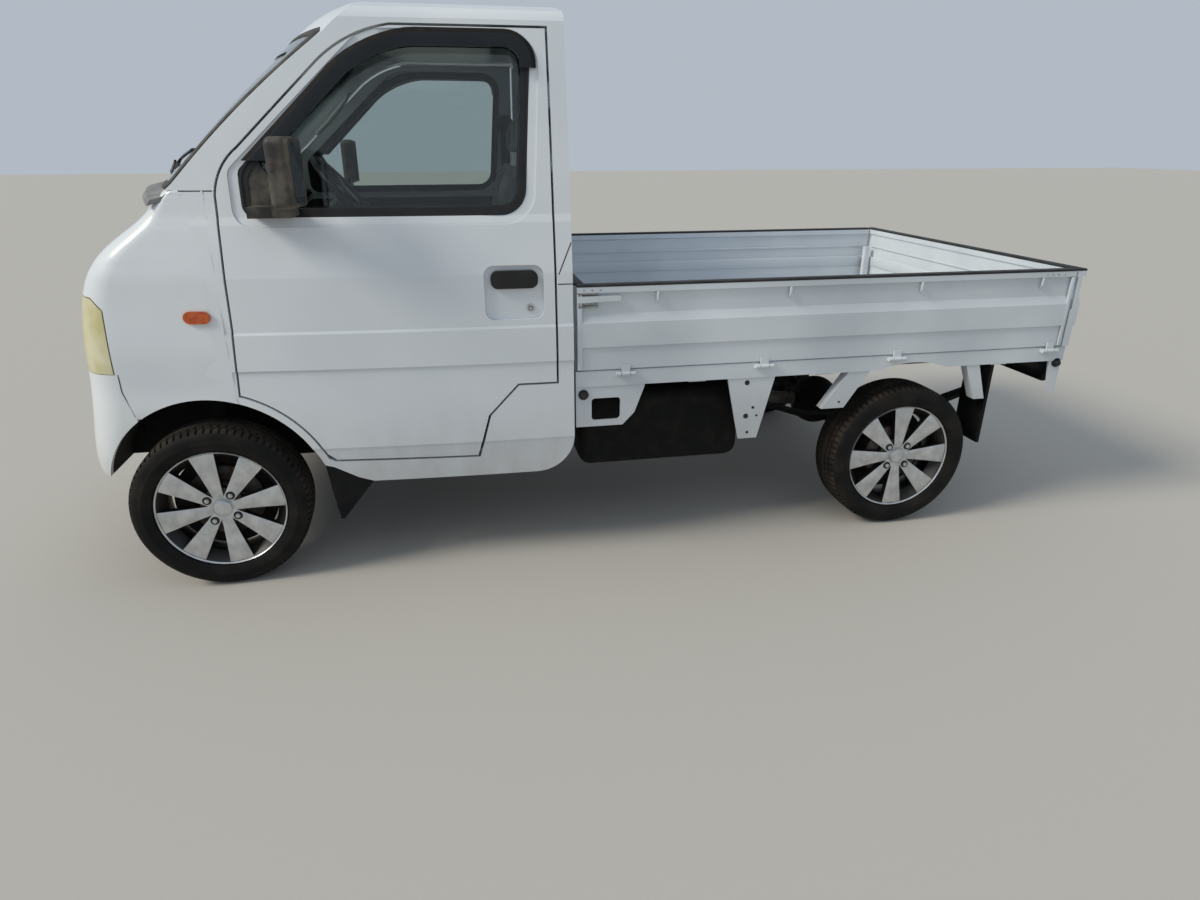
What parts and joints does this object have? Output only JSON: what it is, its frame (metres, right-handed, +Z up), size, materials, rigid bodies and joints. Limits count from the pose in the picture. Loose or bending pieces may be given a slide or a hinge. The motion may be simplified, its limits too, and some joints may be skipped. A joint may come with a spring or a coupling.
{
  "type": "kei truck",
  "caption": "small cab-over pickup with a drop-side bed, opening doors, steered front wheels and alloy rims",
  "frame": {"origin": "middle of the bounding box on the ground", "axes": "+X to the rear, +Y to the truck's right, +Z up"},
  "size_m": [3.3943, 1.7, 1.765],
  "materials": {
    "white_paint": "gloss white enamel, lightly worn",
    "glass": "clear, faint green",
    "headlamp_lens": "clear plastic, yellowed",
    "orange_lens": "moulded orange lens",
    "red_lens": "moulded red lens",
    "black_plastic": "grained, slightly faded",
    "grey_plastic": "grained",
    "seat_fabric": "woven grey cloth",
    "cast_metal": "dull casting",
    "chassis_black": "satin black underseal",
    "exhaust_steel": "dull, heat stained",
    "alloy": "turned silver faces, black pockets",
    "tyre_rubber": "black rubber, dusty"
  },
  "bodies": {
    "root": {"front_panel": "white_paint", "front_bumper": "white_paint", "cab_side_left": "white_paint", "cab_side_right": "white_paint", "roof": "white_paint", "rear_panel": "white_paint", "bed_floor": "white_paint", "bed_front_panel": "white_paint", "bed_brackets": "white_paint", "cab_floor": "white_paint", "cab_glass": "glass", "headlamps": "headlamp_lens", "side_markers": "orange_lens", "tail_lamps": "red_lens", "steering_column": "black_plastic", "mudflaps": "black_plastic", "fuel_tank": "black_plastic", "dashboard": "grey_plastic", "seat_cushions": "seat_fabric", "seat_backs": "seat_fabric", "engine_block": "cast_metal", "gearbox_shaft": "cast_metal", "chassis_frame": "chassis_black", "cross_members": "chassis_black", "wheel_housings": "chassis_black", "front_suspension": "chassis_black", "rear_axle": "chassis_black", "leaf_springs": "chassis_black", "exhaust": "exhaust_steel"},
    "door_left": {"door_left": "white_paint", "door_glass_left": "glass", "mirror_left": "black_plastic", "door_handle_left": "black_plastic"},
    "door_right": {"door_right": "white_paint", "door_glass_right": "glass", "mirror_right": "black_plastic", "door_handle_right": "black_plastic"},
    "gate_left": {"gate_left": "white_paint"},
    "gate_right": {"gate_right": "white_paint"},
    "tailgate": {"tailgate": "white_paint"},
    "knuckle_left": {"knuckle_left": "chassis_black"},
    "knuckle_right": {"knuckle_right": "chassis_black"},
    "wheel_front_left": {"rim_front_left": "alloy", "tyre_front_left": "tyre_rubber"},
    "wheel_front_right": {"rim_front_right": "alloy", "tyre_front_right": "tyre_rubber"},
    "wheel_rear_left": {"rim_rear_left": "alloy", "tyre_rear_left": "tyre_rubber"},
    "wheel_rear_right": {"rim_rear_right": "alloy", "tyre_rear_right": "tyre_rubber"},
    "steering_wheel": {"steering_wheel": "black_plastic"}
  },
  "joints": [
    {"name": "door_left_hinge", "type": "hinge", "parent": "root", "child": "door_left", "pos_m": [-1.1555, -0.68253, 1], "axis": [0, 0, -1], "range_deg": [0, 65]},
    {"name": "door_right_hinge", "type": "hinge", "parent": "root", "child": "door_right", "pos_m": [-1.1555, 0.68253, 1], "axis": [0, 0, 1], "range_deg": [0, 65]},
    {"name": "gate_left_hinge", "type": "hinge", "parent": "root", "child": "gate_left", "pos_m": [0.7325, -0.73, 0.65], "axis": [1, 0, 0], "range_deg": [0, 165]},
    {"name": "gate_right_hinge", "type": "hinge", "parent": "root", "child": "gate_right", "pos_m": [0.7325, 0.73, 0.65], "axis": [-1, 0, 0], "range_deg": [0, 165]},
    {"name": "tailgate_hinge", "type": "hinge", "parent": "root", "child": "tailgate", "pos_m": [1.6895, 0, 0.65], "axis": [0, 1, 0], "range_deg": [0, 165]},
    {"name": "steer_left", "type": "hinge", "parent": "root", "child": "knuckle_left", "pos_m": [-1.2675, -0.5676, 0.268], "axis": [0, 0.2204, 0.9754], "range_deg": [-37, 33]},
    {"name": "steer_right", "type": "hinge", "parent": "root", "child": "knuckle_right", "pos_m": [-1.2675, 0.5676, 0.268], "axis": [0, -0.2204, 0.9754], "range_deg": [-37, 33]},
    {"name": "steering_wheel_turn", "type": "hinge", "parent": "root", "child": "steering_wheel", "pos_m": [-0.8825, 0.34, 1.15], "axis": [0.766, 0, 0.6428], "range_deg": [-666, 594]},
    {"name": "wheel_front_left_spin", "type": "hinge", "parent": "knuckle_left", "child": "wheel_front_left", "pos_m": [-1.26497, -0.63996, 0.268], "axis": [0.0349, -0.9994, 0], "continuous": true},
    {"name": "wheel_front_right_spin", "type": "hinge", "parent": "knuckle_right", "child": "wheel_front_right", "pos_m": [-1.27003, 0.63996, 0.268], "axis": [0.0349, -0.9994, 0], "continuous": true},
    {"name": "wheel_rear_left_spin", "type": "hinge", "parent": "root", "child": "wheel_rear_left", "pos_m": [1.0825, -0.64, 0.268], "axis": [0, -1, 0], "continuous": true},
    {"name": "wheel_rear_right_spin", "type": "hinge", "parent": "root", "child": "wheel_rear_right", "pos_m": [1.0825, 0.64, 0.268], "axis": [0, -1, 0], "continuous": true}
  ],
  "couplings": [
    {"joint": "steer_right", "follows": "steer_left", "ratio": 1},
    {"joint": "steering_wheel_turn", "follows": "steer_left", "ratio": 18}
  ]
}
